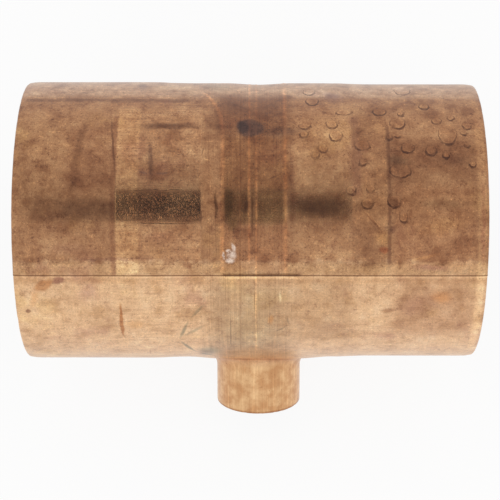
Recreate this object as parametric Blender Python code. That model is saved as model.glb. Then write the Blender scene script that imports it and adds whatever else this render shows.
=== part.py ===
# Wrought copper reducing tee for sweat joints: a 4 in. run with a 1 in. outlet, formed in one piece.
#
# The fitting's own frame has the run along X and the outlet along -Z, with its origin where the two
# axes cross. The finished part lies as it comes to rest on a bench: on the backs of its two run cups
# and on the lowest point of the outlet's rim. The world origin is under the middle of its box.

import math

import bmesh
import bpy
from mathutils import Matrix, Vector

MM = 0.001

# Run, which takes 4 1/8 in. (104.8 mm) tube at both ends
RUN_CUP_BORE = 104.9 * MM
RUN_CUP_DEPTH = 54.9 * MM
RUN_CUP_WALL = 2.5 * MM
RUN_STOP_HEIGHT = 1.0 * MM      # how far the body's bore stands in from the cup's, as the tube stop
RUN_OUTSIDE_DROP = 0.3 * MM     # how far the body's outside lies below the cup's
RUN_SHOULDER = 2.5 * MM         # length of the slope between body and cup
LEFT_LAND = 12.6 * MM           # from the foot of the crotch to the left tube stop
RIGHT_LAND = 6.4 * MM           # from the foot of the crotch to the right tube stop

# Outlet, which takes 1 1/8 in. (28.6 mm) tube
OUTLET_CUP_BORE = 28.7 * MM
OUTLET_CUP_DEPTH = 23.1 * MM
OUTLET_CUP_WALL = 2.8 * MM
OUTLET_STOP_HEIGHT = 0.8 * MM
OUTLET_SHOULDER = 0.8 * MM      # length of the slope between the outlet's throat and its cup

# Drawn crotch where the outlet leaves the run
CROTCH_OUTSIDE = 6.5 * MM       # fillet radius on the outside
CROTCH_INSIDE = 1.8 * MM        # rounding radius on the inside

# Shallow hollow that forming leaves in the wall opposite the outlet
DIP_DEPTH = 0.6 * MM
DIP_LENGTH = 26.0 * MM

# Cut ends
END_NOSING = 0.35 * MM          # the cutter rolls the run's outer edge in by this much
END_NOSING_LENGTH = 5.0 * MM
RIM_ROUND = 0.8 * MM            # rounding of every outer edge
RIM_LEAD_IN = 0.4 * MM          # chamfer at the mouth of every cup

# Facets
RUN_SIDES = 72
RIM_STEPS = 3
SHOULDER_STEPS = 3
SPREAD_STEPS = 3                # rings of facets from the outlet's window to its crotch
CROTCH_STEPS = 5

# Derived sizes
RUN_CUP_RADIUS = RUN_CUP_BORE / 2
RUN_OUTER_RADIUS = RUN_CUP_RADIUS + RUN_CUP_WALL
BODY_BORE_RADIUS = RUN_CUP_RADIUS - RUN_STOP_HEIGHT
BODY_OUTER_RADIUS = RUN_OUTER_RADIUS - RUN_OUTSIDE_DROP
OUTLET_CUP_RADIUS = OUTLET_CUP_BORE / 2
OUTLET_OUTER_RADIUS = OUTLET_CUP_RADIUS + OUTLET_CUP_WALL
THROAT_RADIUS = OUTLET_CUP_RADIUS - OUTLET_STOP_HEIGHT
CROTCH_FOOT = OUTLET_OUTER_RADIUS + CROTCH_OUTSIDE
LEFT_STOP = CROTCH_FOOT + LEFT_LAND
RIGHT_STOP = CROTCH_FOOT + RIGHT_LAND
LEFT_REACH = LEFT_STOP + RUN_CUP_DEPTH
RIGHT_REACH = RIGHT_STOP + RUN_CUP_DEPTH
OUTLET_THROAT_END = BODY_BORE_RADIUS + CROTCH_INSIDE
OUTLET_STOP = OUTLET_THROAT_END + OUTLET_SHOULDER
OUTLET_REACH = OUTLET_STOP + OUTLET_CUP_DEPTH

# The window in the run's sheet where its grid of facets gives way to rings round the outlet. It
# reaches half way from the crotch to the nearer slope, and a whole number of facets round the run.
WINDOW_REACH = CROTCH_FOOT + (min(LEFT_LAND, RIGHT_LAND) - RUN_SHOULDER) / 2
CROTCH_HALF_ANGLE = math.asin(CROTCH_FOOT / (BODY_OUTER_RADIUS + CROTCH_OUTSIDE))
WINDOW_HALF_SIDES = math.floor(CROTCH_HALF_ANGLE / (math.tau / RUN_SIDES)) + 2


def smooth(share):
    # Eases from 0 to 1.
    share = min(1.0, max(0.0, share))
    return share * share * (3 - 2 * share)


def slope(start, start_radius, end, end_radius, steps):
    # Stations of an S-shaped slope, without its first one.
    return [
        (
            start + (end - start) * step / steps,
            start_radius + (end_radius - start_radius) * smooth(step / steps),
        )
        for step in range(1, steps + 1)
    ]


def rounded_end(reach, radius, nosing=0, nosing_length=0):
    # Stations from the straight wall to the cut face, at distance reach along the axis.
    corner = radius - nosing - RIM_ROUND
    stations = []
    if nosing > 0:
        stations += [(reach - nosing_length, radius)]
        stations += [(reach - nosing_length / 2, radius - nosing / 3)]
    for step in range(RIM_STEPS + 1):
        turn = math.radians(90 * step / RIM_STEPS)
        stations.append((reach - RIM_ROUND + RIM_ROUND * math.sin(turn), corner + RIM_ROUND * math.cos(turn)))
    return stations


def cup_end(reach, radius):
    # Stations from a cup's straight wall over its lead-in chamfer to the cut face.
    return [(reach - RIM_LEAD_IN, radius), (reach, radius + RIM_LEAD_IN)]


def outside_half(stop, reach):
    # The run's outside from the body to one end, by distance from the outlet's axis.
    return slope(stop - RUN_SHOULDER, BODY_OUTER_RADIUS, stop, RUN_OUTER_RADIUS, SHOULDER_STEPS) + rounded_end(
        reach, RUN_OUTER_RADIUS, END_NOSING, END_NOSING_LENGTH
    )


def inside_half(stop, reach):
    # The run's bore from the body to one end. The tube stop is the slope's last station.
    return slope(stop - RUN_SHOULDER, BODY_BORE_RADIUS, stop, RUN_CUP_RADIUS, SHOULDER_STEPS) + cup_end(
        reach, RUN_CUP_RADIUS
    )


def run_stations(half, body_radius):
    # The whole run's profile, left to right, with evenly spaced stations across the outlet's window.
    left = [(-LEFT_STOP + RUN_SHOULDER, body_radius)] + [(-x, r) for x, r in half(LEFT_STOP, LEFT_REACH)]
    right = [(RIGHT_STOP - RUN_SHOULDER, body_radius)] + half(RIGHT_STOP, RIGHT_REACH)
    steps = range(-WINDOW_HALF_SIDES, WINDOW_HALF_SIDES + 1)
    across = [(WINDOW_REACH * step / WINDOW_HALF_SIDES, body_radius) for step in steps]
    return left[::-1] + across + right


def crotch_ring(turn, share, run_radius, outlet_radius, fillet):
    # Point of the rolling-ball fillet between run and outlet. turn goes round the outlet's axis;
    # share runs from 0, on the run, to 1, on the outlet.
    reach = outlet_radius + fillet
    side = reach * math.sin(turn)
    centre = Vector((reach * math.cos(turn), side, -math.sqrt((run_radius + fillet) ** 2 - side**2)))
    to_run = Vector((0, -centre.y, -centre.z)).normalized()
    to_outlet = Vector((-math.cos(turn), -math.sin(turn), 0))
    return centre + fillet * to_run.slerp(to_outlet, share)


def spun_sheet(mesh, stations):
    # The run's sheet: its profile spun about the X axis, starting under the outlet.
    chain = [mesh.verts.new((x, 0, -r)) for x, r in stations]
    edges = [mesh.edges.new(pair) for pair in zip(chain, chain[1:])]
    bmesh.ops.spin(
        mesh,
        geom=chain + edges,
        cent=(0, 0, 0),
        axis=(1, 0, 0),
        angle=math.tau,
        steps=RUN_SIDES,
        use_merge=True,
    )


def cut_window(mesh):
    # Takes the outlet's window out of the sheet and returns the border's edges.
    half_angle = math.tau * WINDOW_HALF_SIDES / RUN_SIDES

    def inside(face):
        centre = face.calc_center_median()
        return abs(centre.x) < WINDOW_REACH and abs(math.atan2(centre.y, -centre.z)) < half_angle

    window = {face for face in mesh.faces if inside(face)}
    border = [e for face in window for e in face.edges if not window.issuperset(e.link_faces)]
    bmesh.ops.delete(mesh, geom=list(window), context="FACES")
    return border


def even_turns(border):
    # Spreads the border's corners evenly round the outlet, starting from the one on +X.
    def plan_turn(vert):
        return math.atan2(vert.co.y, vert.co.x)

    verts = sorted({vert for edge in border for vert in edge.verts}, key=plan_turn)
    first = min(range(len(verts)), key=lambda i: abs(plan_turn(verts[i])))
    return {verts[(first + i) % len(verts)]: math.tau * i / len(verts) for i in range(len(verts))}


def draw_rings(mesh, border, turns, rings):
    # Extrudes the border once for each ring. A ring gives a point from its turn round the outlet and
    # from the border's corner that it started at.
    starts = {vert: vert.co.copy() for vert in turns}
    for ring in rings:
        made = bmesh.ops.extrude_edge_only(mesh, edges=border)["geom"]
        fresh = {item for item in made if isinstance(item, bmesh.types.BMVert)}
        next_turns, next_starts = {}, {}
        for vert in fresh:
            old = next(e.other_vert(vert) for e in vert.link_edges if e.other_vert(vert) not in fresh)
            next_turns[vert], next_starts[vert] = turns[old], starts[old]
        for vert in fresh:
            vert.co = ring(next_turns[vert], next_starts[vert])
        border = [e for e in made if isinstance(e, bmesh.types.BMEdge) and set(e.verts) <= fresh]
        turns, starts = next_turns, next_starts


def tee_sheet(half, body_radius, outlet_radius, fillet, outlet_stations):
    # One side of the tee's wall: the spun run, the drawn crotch and the outlet.
    mesh = bmesh.new()
    spun_sheet(mesh, run_stations(half, body_radius))
    border = cut_window(mesh)

    def spread(share):
        # On the run's cylinder, part of the way from the window's border to the crotch.
        def place(turn, start):
            foot = crotch_ring(turn, 0, body_radius, outlet_radius, fillet)
            start_angle, foot_angle = (math.atan2(point.y, -point.z) for point in (start, foot))
            angle = start_angle + (foot_angle - start_angle) * share
            x = start.x + (foot.x - start.x) * share
            return Vector((x, body_radius * math.sin(angle), -body_radius * math.cos(angle)))

        return place

    def crotch(share):
        return lambda turn, start: crotch_ring(turn, share, body_radius, outlet_radius, fillet)

    def outlet(distance, radius):
        return lambda turn, start: Vector((radius * math.cos(turn), radius * math.sin(turn), -distance))

    rings = [spread(step / SPREAD_STEPS) for step in range(1, SPREAD_STEPS)]
    rings += [crotch(step / CROTCH_STEPS) for step in range(CROTCH_STEPS + 1)]
    rings += [outlet(distance, radius) for distance, radius in outlet_stations]
    draw_rings(mesh, border, even_turns(border), rings)
    press_dip(mesh.verts)
    return mesh


def press_dip(verts):
    # The shallow hollow, deepest opposite the outlet and gone beside it.
    for vert in verts:
        along = abs(vert.co.x) / (DIP_LENGTH / 2)
        height = vert.co.z / BODY_BORE_RADIUS
        if along < 1 and height > 0:
            vert.co.yz -= vert.co.yz.normalized() * DIP_DEPTH * (1 - smooth(along)) * smooth(height)


def open_ends(mesh):
    # The edges of the three open ends: left, right and outlet.
    def middle_x(edge):
        return (edge.verts[0].co.x + edge.verts[1].co.x) / 2

    edges = [edge for edge in mesh.edges if edge.is_boundary]
    left = [edge for edge in edges if middle_x(edge) < -LEFT_STOP]
    right = [edge for edge in edges if middle_x(edge) > RIGHT_STOP]
    outlet = [edge for edge in edges if -LEFT_STOP < middle_x(edge) < RIGHT_STOP]
    return left, right, outlet


def tee_mesh():
    # The outside and the inside of the wall, joined by a flat face at each end.
    outside = tee_sheet(
        outside_half,
        BODY_OUTER_RADIUS,
        OUTLET_OUTER_RADIUS,
        CROTCH_OUTSIDE,
        rounded_end(OUTLET_REACH, OUTLET_OUTER_RADIUS),
    )
    inside = tee_sheet(
        inside_half,
        BODY_BORE_RADIUS,
        THROAT_RADIUS,
        CROTCH_INSIDE,
        slope(OUTLET_THROAT_END, THROAT_RADIUS, OUTLET_STOP, OUTLET_CUP_RADIUS, SHOULDER_STEPS)
        + cup_end(OUTLET_REACH, OUTLET_CUP_RADIUS),
    )
    bmesh.ops.reverse_faces(inside, faces=inside.faces)
    carried = bpy.data.meshes.new("inside")
    inside.to_mesh(carried)
    inside.free()
    outside.from_mesh(carried)
    bpy.data.meshes.remove(carried)
    for end in open_ends(outside):
        bmesh.ops.bridge_loops(outside, edges=end)
    bmesh.ops.recalc_face_normals(outside, faces=outside.faces)
    return outside


def resting_place():
    # Turns the outlet down until its rim touches the bench that the run lies on, and centres the box.
    arm = Vector((OUTLET_REACH - RIM_ROUND, OUTLET_OUTER_RADIUS - RIM_ROUND))
    below_level = math.asin((RUN_OUTER_RADIUS - RIM_ROUND) / arm.length) - math.atan2(arm.y, arm.x)
    front = arm.x * math.cos(below_level) + arm.y * math.sin(below_level) + RIM_ROUND
    place = Vector(((LEFT_REACH - RIGHT_REACH) / 2, (front - RUN_OUTER_RADIUS) / 2, RUN_OUTER_RADIUS))
    return place, below_level - math.radians(90)


def copper():
    material = bpy.data.materials.new("aged_copper")
    material.use_nodes = True
    shader = material.node_tree.nodes["Principled BSDF"]
    shader.inputs["Base Color"].default_value = (0.52, 0.27, 0.13, 1)
    shader.inputs["Metallic"].default_value = 1.0
    shader.inputs["Roughness"].default_value = 0.42
    return material


def main():
    for old in list(bpy.data.objects):
        bpy.data.objects.remove(old, do_unlink=True)
    collection = bpy.data.collections.new("reducing_tee")
    bpy.context.scene.collection.children.link(collection)

    mesh = bpy.data.meshes.new("reducing_tee")
    shape = tee_mesh()
    shape.to_mesh(mesh)
    shape.free()
    mesh.shade_smooth()
    mesh.set_sharp_from_angle(angle=math.radians(35))
    mesh.materials.append(copper())

    tee = bpy.data.objects.new("reducing_tee", mesh)
    place, tilt = resting_place()
    tee.matrix_world = Matrix.Translation(place) @ Matrix.Rotation(tilt, 4, "X")
    collection.objects.link(tee)


main()
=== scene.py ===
# Wrought copper reducing tee, dressed over its imported solid: the drawn wall with its forming ridges
# and die lines, the patina, stains and dried drops of a fitting that has lain in a store, and some
# painted reflection, highlight and shade.
#
# The fitting's own frame has the run along X and the outlet along -Z, with its origin where the two
# axes cross. "turn" is the angle round the run's axis from the side opposite the outlet, growing
# towards the side that faces the camera, where the die line lies at about 96 degrees. "along" is the
# distance from the outlet's axis, and "arc" the distance round the run's outside from turn 0. Marks
# are placed by where they show in the photograph, as "at", "columns" and "rows" in its pixels, and
# onWall() carries them to the wall.

import math

import bmesh
import bpy
from mathutils import Matrix, Vector


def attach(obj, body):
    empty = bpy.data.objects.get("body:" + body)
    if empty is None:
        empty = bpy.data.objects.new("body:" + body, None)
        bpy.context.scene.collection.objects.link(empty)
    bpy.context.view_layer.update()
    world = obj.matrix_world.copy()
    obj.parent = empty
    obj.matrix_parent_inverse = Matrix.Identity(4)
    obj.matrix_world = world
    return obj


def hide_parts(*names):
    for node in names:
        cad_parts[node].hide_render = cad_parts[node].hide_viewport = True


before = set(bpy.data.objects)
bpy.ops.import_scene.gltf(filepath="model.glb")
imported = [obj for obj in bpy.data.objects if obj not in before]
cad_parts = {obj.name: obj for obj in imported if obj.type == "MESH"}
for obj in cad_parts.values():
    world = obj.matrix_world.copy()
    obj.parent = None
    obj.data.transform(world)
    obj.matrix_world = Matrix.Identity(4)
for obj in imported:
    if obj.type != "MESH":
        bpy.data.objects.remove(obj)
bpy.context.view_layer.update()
mm = 0.001
photoSize = 500

run = {
    "cupRadius": 54.95 * mm,
    "cupBore": 52.45 * mm,
    "cupDepth": 54.9 * mm,
    "bodyRadius": 54.80 * mm,
    "bodyBore": 51.45 * mm,
    "shoulder": 2.5 * mm,
    "leftReach": 91.15 * mm,
    "rightReach": 84.95 * mm,
    "edgeRound": 0.8 * mm,
    "leadIn": 0.4 * mm,
    "nosing": 0.35 * mm,
    "nosingLength": 5.0 * mm,
}

outlet = {
    "radius": 17.15 * mm,
    "cupBore": 14.35 * mm,
    "throat": 13.55 * mm,
    "cupDepth": 23.1 * mm,
    "shoulder": 0.8 * mm,
    "crotchOutside": 6.5 * mm,
    "crotchInside": 1.8 * mm,
    "reach": 77.15 * mm,
}

dip = {"depth": 0.6 * mm, "length": 26 * mm}  # the hollow opposite the outlet

facets = {
    "sides": 180,
    "dieLineSteps": [-1.6, -1.1, -0.7, -0.35, 0, 0.35, 0.7, 1.1, 1.6],  # degrees beside each die line
    "halfWindow": 13,        # sides from the outlet's middle to the border of its window
    "windowMargin": 1.95 * mm,
    "acrossOutside": 60,     # stations across the window
    "acrossInside": 26,
    "cupSteps": 30,
    "boreSteps": 6,
    "ridgeSteps": [-1.0, -0.5, 0, 0.5, 1.0],
    "crotchSteps": 10,
    "spreadSteps": 4,
    "roundSteps": 6,
    "shoulderSteps": 5,
    "nosingSteps": 4,
    "stemSteps": 14,
    "stemEnd": 1.5 * mm,         # how far from the outlet's end its straight wall stops
    "bodyStep": 1.5 * mm,
    "closest": 0.3 * mm,         # stations closer than this to a ridge's are left out
    "ridgeGap": 0.22 * mm,
    "dieLineReach": 2.2,         # degrees beside a die line where its own steps take over
    "endsFrom": 60 * mm,         # an open edge further along than this is a run cup's
    "sharpFrom": 40,             # degrees between faces
}

camera = {
    "rise": 74.18,            # degrees above level, on the outlet's side
    "outletTilt": 16.0,       # degrees that the outlet points away from the camera
    "distance": 633.6 * mm,   # from where the axes cross
    "lens": 113.47,
    "sensor": 36,
    "crossingRight": 3.44 * mm,  # how far the crossing lies from the middle of the picture
    "crossingUp": 12.0 * mm,
    "roll": 0.03,             # degrees, clockwise in the picture
}


def smooth(share):
    share = min(1.0, max(0.0, share))
    return share * share * (3 - 2 * share)


def restingPlace():
    # The tee lies on the backs of its run cups and on the lowest point of the outlet's rim.
    reach = outlet["reach"] - run["edgeRound"]
    rim = outlet["radius"] - run["edgeRound"]
    arm = math.hypot(reach, rim)
    belowLevel = math.asin((run["cupRadius"] - run["edgeRound"]) / arm) - math.atan2(rim, reach)
    front = reach * math.cos(belowLevel) + rim * math.sin(belowLevel) + run["edgeRound"]
    middle = (run["leftReach"] - run["rightReach"]) / 2
    place = Vector((middle, (front - run["cupRadius"]) / 2, run["cupRadius"]))
    return place, belowLevel - math.radians(90)


crossing, tilt = restingPlace()
toWorld = Matrix.Translation(crossing) @ Matrix.Rotation(tilt, 4, "X")
toFitting = toWorld.inverted()

rise = math.radians(camera["rise"])
eye = crossing + Vector((0, -math.cos(rise), math.sin(rise))) * camera["distance"]
pictureUp = Vector((0, math.sin(rise), math.cos(rise)))
aim = crossing + Vector((-camera["crossingRight"], 0, 0)) - pictureUp * camera["crossingUp"]
forward = (aim - eye).normalized()
rightward = forward.cross(pictureUp).normalized()
rightward.rotate(Matrix.Rotation(math.radians(-camera["roll"]), 3, forward))
upward = rightward.cross(forward)


def addCamera():
    data = bpy.data.cameras.new("photoCamera")
    data.lens = camera["lens"]
    data.sensor_width = camera["sensor"]
    data.clip_start = 0.05
    item = bpy.data.objects.new("photoCamera", data)
    turned = Matrix((rightward, upward, -forward)).transposed().to_4x4()
    item.matrix_world = Matrix.Translation(eye) @ turned
    bpy.context.scene.collection.objects.link(item)
    bpy.context.scene.camera = item


def onWall(column, row):
    # Where a pixel of the photograph meets the run's outside: along and arc, in millimetres.
    pixels = camera["lens"] / camera["sensor"] * photoSize
    ray = forward * pixels + rightward * (column - photoSize / 2) + upward * (photoSize / 2 - row)
    start = toFitting @ eye
    step = (toFitting.to_3x3() @ ray).normalized()
    radius = run["cupRadius"]
    a = step.y ** 2 + step.z ** 2
    b = start.y * step.y + start.z * step.z
    c = start.y ** 2 + start.z ** 2 - radius ** 2
    hit = start + step * ((-b - math.sqrt(max(0.0, b * b - a * c))) / a)
    return hit.x / mm, math.atan2(-hit.y, hit.z) * radius / mm


addCamera()
print("camera set")

dieLine = {
    "at": (258, 276),
    "height": 0.10,               # millimetres, as all sizes of marks are
    "width": 0.55,
    "step": 0.05,
    "thickColumns": (222, 300),   # where its flash is thicker
}
dieLine["arc"] = onWall(*dieLine["at"])[1]
dieLine["turn"] = math.degrees(dieLine["arc"] * mm / run["cupRadius"])
print(f"die line at turn {dieLine['turn']:.1f}")


# Ridges and grooves that drawing the outlet left round the run: where, first and last row, width and
# height in millimetres, tint. "bend" swings one away towards turn 0, from an arc on.
ridges = {
    "seamLeft": {"at": (222, 215), "rows": (92, 273), "width": 1.1, "height": 0.12,
                 "tint": (1.55, 1.52, 1.44), "bend": (0.0105, 37.0)},
    "grooveLeft": {"at": (240, 215), "rows": (96, 350), "width": 0.5, "height": -0.05,
                   "tint": (0.84, 0.79, 0.76)},
    "pairFirst": {"at": (249, 215), "rows": (86, 262), "width": 0.6, "height": 0.10,
                  "tint": (1.50, 1.42, 1.32)},
    "pairGroove": {"at": (252.3, 215), "rows": (196, 232), "width": 0.6, "height": -0.12,
                   "tint": (0.50, 0.44, 0.42)},
    "pairSecond": {"at": (256, 215), "rows": (86, 350), "width": 0.6, "height": 0.10,
                   "tint": (1.42, 1.38, 1.30)},
    "ridgeRight": {"at": (285.5, 215), "rows": (88, 272), "width": 1.0, "height": 0.12,
                   "tint": (1.52, 1.48, 1.40)},
    "cuffStep": {"at": (390, 200), "rows": (122, 266), "width": 0.9, "height": -0.08,
                 "tint": (0.86, 0.82, 0.82)},
}
for ridge in ridges.values():
    ridge["along"] = onWall(*ridge["at"])[0]
    ridge["arcs"] = [onWall(ridge["at"][0], row)[1] for row in ridge["rows"]]


def slope(start, startRadius, end, endRadius, steps):
    rise = endRadius - startRadius
    return [
        (start + (end - start) * i / steps, startRadius + rise * smooth(i / steps))
        for i in range(1, steps + 1)
    ]


def roundedEnd(reach, radius, nosing=0.0):
    corner = radius - nosing - run["edgeRound"]
    stations = []
    if nosing > 0:
        steps = facets["nosingSteps"]
        start, length = reach - run["nosingLength"], run["nosingLength"]
        stations = [(start + length * i / steps, radius - nosing * (i / steps) ** 2)
                    for i in range(steps - 1)]
    for i in range(facets["roundSteps"] + 1):
        turn = math.radians(90 * i / facets["roundSteps"])
        x = reach - run["edgeRound"] + run["edgeRound"] * math.sin(turn)
        stations.append((x, corner + run["edgeRound"] * math.cos(turn)))
    return stations


def straight(first, last, radius, steps):
    return [(first + (last - first) * i / steps, radius) for i in range(1, steps + 1)]


def outsideHalf(stop, reach):
    start, end, radius = stop - run["shoulder"], stop + run["shoulder"], run["cupRadius"]
    stations = slope(start, run["bodyRadius"], end, radius, facets["shoulderSteps"])
    stations += straight(end, reach - run["nosingLength"], radius, facets["cupSteps"])[:-1]
    return stations + roundedEnd(reach, radius, run["nosing"])


def insideHalf(stop, reach):
    start, radius = stop - run["shoulder"], run["cupBore"]
    stations = slope(start, run["bodyBore"], stop, radius, facets["shoulderSteps"])
    stations += straight(stop, reach - run["leadIn"], radius, facets["boreSteps"])
    return stations + [(reach, radius + run["leadIn"])]


def runStations(half, bodyRadius, windowReach, across, extra):
    # The whole profile, left to right, and the numbers of the window's first and last stations.
    sides = []
    for reach in (run["leftReach"], run["rightReach"]):
        stop = reach - run["cupDepth"]
        bodyEnd = stop - run["shoulder"]
        steps = max(1, round((bodyEnd - windowReach) / facets["bodyStep"]))
        sides.append(straight(windowReach, bodyEnd, bodyRadius, steps) + half(stop, reach))
    middle = [windowReach * (2 * i / across - 1) for i in range(1, across)]
    closest = facets["closest"]
    middle = [x for x in middle if all(abs(x - place) > closest for place in extra)]
    middle += [place for place in extra if abs(place) < windowReach - closest]
    middle = [-windowReach] + sorted(middle) + [windowReach]
    left = [(-x, r) for x, r in sides[0][::-1]]
    whole = left + [(x, bodyRadius) for x in middle] + sides[1]
    return whole, len(left), len(left) + len(middle) - 1


def runTurns():
    # Angles round the run from under the outlet, closer together beside the two die lines.
    step = 360 / facets["sides"]
    turns = [step * i for i in range(facets["sides"])]
    for middle in (180 - dieLine["turn"], 180 + dieLine["turn"]):
        turns = [t for t in turns if abs(t - middle) > facets["dieLineReach"]]
        turns += [middle + t for t in facets["dieLineSteps"]]
    return [math.radians(t) for t in sorted(turns)]


def crotchPoint(turn, share, runRadius, outletRadius, fillet):
    # The rolling-ball fillet: share goes from 0, on the run, to 1, on the outlet.
    reach = outletRadius + fillet
    side = reach * math.sin(turn)
    centre = Vector((reach * math.cos(turn), side, -math.sqrt((runRadius + fillet) ** 2 - side ** 2)))
    toRun = Vector((0, -centre.y, -centre.z)).normalized()
    toOutlet = Vector((-math.cos(turn), -math.sin(turn), 0))
    return centre + fillet * toRun.slerp(toOutlet, share)


def wallSheet(half, bodyRadius, outletRadius, fillet, outletStations, across, extra):
    # One side of the wall. Its grid of quads leaves a window, where the outlet's rings start.
    mesh = bmesh.new()
    windowReach = outlet["radius"] + outlet["crotchOutside"] + facets["windowMargin"]
    turns = runTurns()
    stations, first, last = runStations(half, bodyRadius, windowReach, across, extra)
    rows = [[mesh.verts.new((x, r * math.sin(t), -r * math.cos(t))) for t in turns] for x, r in stations]
    window = facets["halfWindow"]
    count = len(turns)
    for i in range(len(rows) - 1):
        for k in range(-window, count - window):
            if first <= i < last and k < window:
                continue
            after = (k + 1) % count
            mesh.faces.new((rows[i][k], rows[i][after], rows[i + 1][after], rows[i + 1][k]))
    border = [rows[last][k] for k in range(-window, window)]
    border += [rows[i][window] for i in range(last, first, -1)]
    border += [rows[first][k] for k in range(window, -window, -1)]
    border += [rows[i][-window] for i in range(first, last)]
    halfWidth = max(vert.co.y for vert in border)
    places = [(math.atan2(v.co.y / halfWidth, v.co.x / windowReach), v.co.copy()) for v in border]

    def spread(turn, start, share):
        end = crotchPoint(turn, 0, bodyRadius, outletRadius, fillet)
        startTurn, endTurn = (math.atan2(p.y, -p.z) for p in (start, end))
        t = startTurn + (endTurn - startTurn) * share
        x = start.x + (end.x - start.x) * share
        return Vector((x, bodyRadius * math.sin(t), -bodyRadius * math.cos(t)))

    rings = []
    for i in range(1, facets["spreadSteps"]):
        rings.append([spread(t, p, i / facets["spreadSteps"]) for t, p in places])
    for i in range(facets["crotchSteps"] + 1):
        share = i / facets["crotchSteps"]
        rings.append([crotchPoint(t, share, bodyRadius, outletRadius, fillet) for t, p in places])
    for distance, radius in outletStations:
        circle = [(radius * math.cos(t), radius * math.sin(t)) for t, p in places]
        rings.append([Vector((x, y, -distance)) for x, y in circle])
    ring = border
    for points in rings:
        nextRing = [mesh.verts.new(point) for point in points]
        for k in range(len(ring)):
            after = (k + 1) % len(ring)
            mesh.faces.new((ring[k], ring[after], nextRing[after], nextRing[k]))
        ring = nextRing
    bmesh.ops.delete(mesh, geom=[v for v in mesh.verts if not v.link_faces], context="VERTS")
    for vert in mesh.verts:
        share = abs(vert.co.x) / (dip["length"] / 2)
        height = vert.co.z / run["bodyBore"]
        if share < 1 and height > 0:
            vert.co.yz -= vert.co.yz.normalized() * dip["depth"] * (1 - smooth(share)) * smooth(height)
    return mesh


def ridgeStations():
    # Extra stations where a ridge needs them.
    wanted = []
    for ridge in ridges.values():
        wanted += [ridge["along"] * mm + step * ridge["width"] * mm for step in facets["ridgeSteps"]]
    kept = []
    for place in sorted(wanted):
        if not kept or place - kept[-1] > facets["ridgeGap"]:
            kept.append(place)
    return kept


def wallShape():
    reach = outlet["reach"]
    crotchTop = run["bodyRadius"] + outlet["crotchOutside"]
    stem = straight(crotchTop, reach - facets["stemEnd"], outlet["radius"], facets["stemSteps"])
    stem += roundedEnd(reach, outlet["radius"])
    whole = wallSheet(
        outsideHalf, run["bodyRadius"], outlet["radius"], outlet["crotchOutside"], stem,
        facets["acrossOutside"], ridgeStations(),
    )
    throatEnd = run["bodyBore"] + outlet["crotchInside"]
    stop = throatEnd + outlet["shoulder"]
    bore = slope(throatEnd, outlet["throat"], stop, outlet["cupBore"], facets["shoulderSteps"])
    bore += straight(stop, reach - run["leadIn"], outlet["cupBore"], facets["boreSteps"])
    bore += [(reach, outlet["cupBore"] + run["leadIn"])]
    inside = wallSheet(
        insideHalf, run["bodyBore"], outlet["throat"], outlet["crotchInside"], bore,
        facets["acrossInside"], [],
    )
    bmesh.ops.reverse_faces(inside, faces=inside.faces)
    skin = whole.verts.layers.float.new("skin")  # 1 outside, 0 inside
    for vert in whole.verts:
        vert[skin] = 1
    carried = bpy.data.meshes.new("inside")
    inside.to_mesh(carried)
    inside.free()
    whole.from_mesh(carried)
    bpy.data.meshes.remove(carried)
    openEdges = [edge for edge in whole.edges if edge.is_boundary]
    ends = {-1: [], 0: [], 1: []}
    for edge in openEdges:
        x = (edge.verts[0].co.x + edge.verts[1].co.x) / 2
        ends[0 if abs(x) < facets["endsFrom"] else math.copysign(1, x)].append(edge)
    for edges in ends.values():
        bmesh.ops.bridge_loops(whole, edges=edges)
    bmesh.ops.recalc_face_normals(whole, faces=whole.faces)
    return whole


def plug(tree, value, socket):
    if isinstance(value, bpy.types.NodeSocket):
        tree.links.new(value, socket)
    else:
        socket.default_value = value


def addNode(tree, kind, sockets=None, **settings):
    node = tree.nodes.new(kind)
    for name, value in settings.items():
        setattr(node, name, value)
    for key, value in (sockets or {}).items():
        plug(tree, value, node.inputs[key])
    return node


def calc(tree, operation, *values):
    return addNode(tree, "ShaderNodeMath", dict(enumerate(values)), operation=operation).outputs[0]


def times(tree, first, *others):
    for value in others:
        first = calc(tree, "MULTIPLY", first, value)
    return first


def plus(tree, first, second):
    return calc(tree, "ADD", first, second)


def minus(tree, first, second):
    return calc(tree, "SUBTRACT", first, second)


def off(tree, value, place=0.0):
    # How far the value is from a place.
    return calc(tree, "ABSOLUTE", minus(tree, value, place) if place else value)


def ease(tree, value, low, high, toLow=0.0, toHigh=1.0):
    # Smooth step from toLow to toHigh as value goes from low to high, which may be the lower one. A
    # smooth step needs no clamp, and a clamp node for each would overfill the shader's stack.
    sockets = {"Value": value, "From Min": low, "From Max": high, "To Min": toLow, "To Max": toHigh}
    settings = {"interpolation_type": "SMOOTHSTEP", "clamp": False}
    return addNode(tree, "ShaderNodeMapRange", sockets, **settings).outputs[0]


def between(tree, value, low, high, soft):
    # 1 from low to high, easing to 0 over soft on both sides.
    into = ease(tree, value, low - soft, low + soft)
    return times(tree, into, ease(tree, value, high + soft, high - soft))


def vector(tree, operation, *values):
    return addNode(tree, "ShaderNodeVectorMath", dict(enumerate(values)), operation=operation).outputs[0]


def noise(tree, place, scale, detail=4.0, roughness=0.55, output="Fac"):
    sockets = {"Vector": place, "Scale": scale, "Detail": detail, "Roughness": roughness}
    return addNode(tree, "ShaderNodeTexNoise", sockets).outputs[output]


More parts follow.
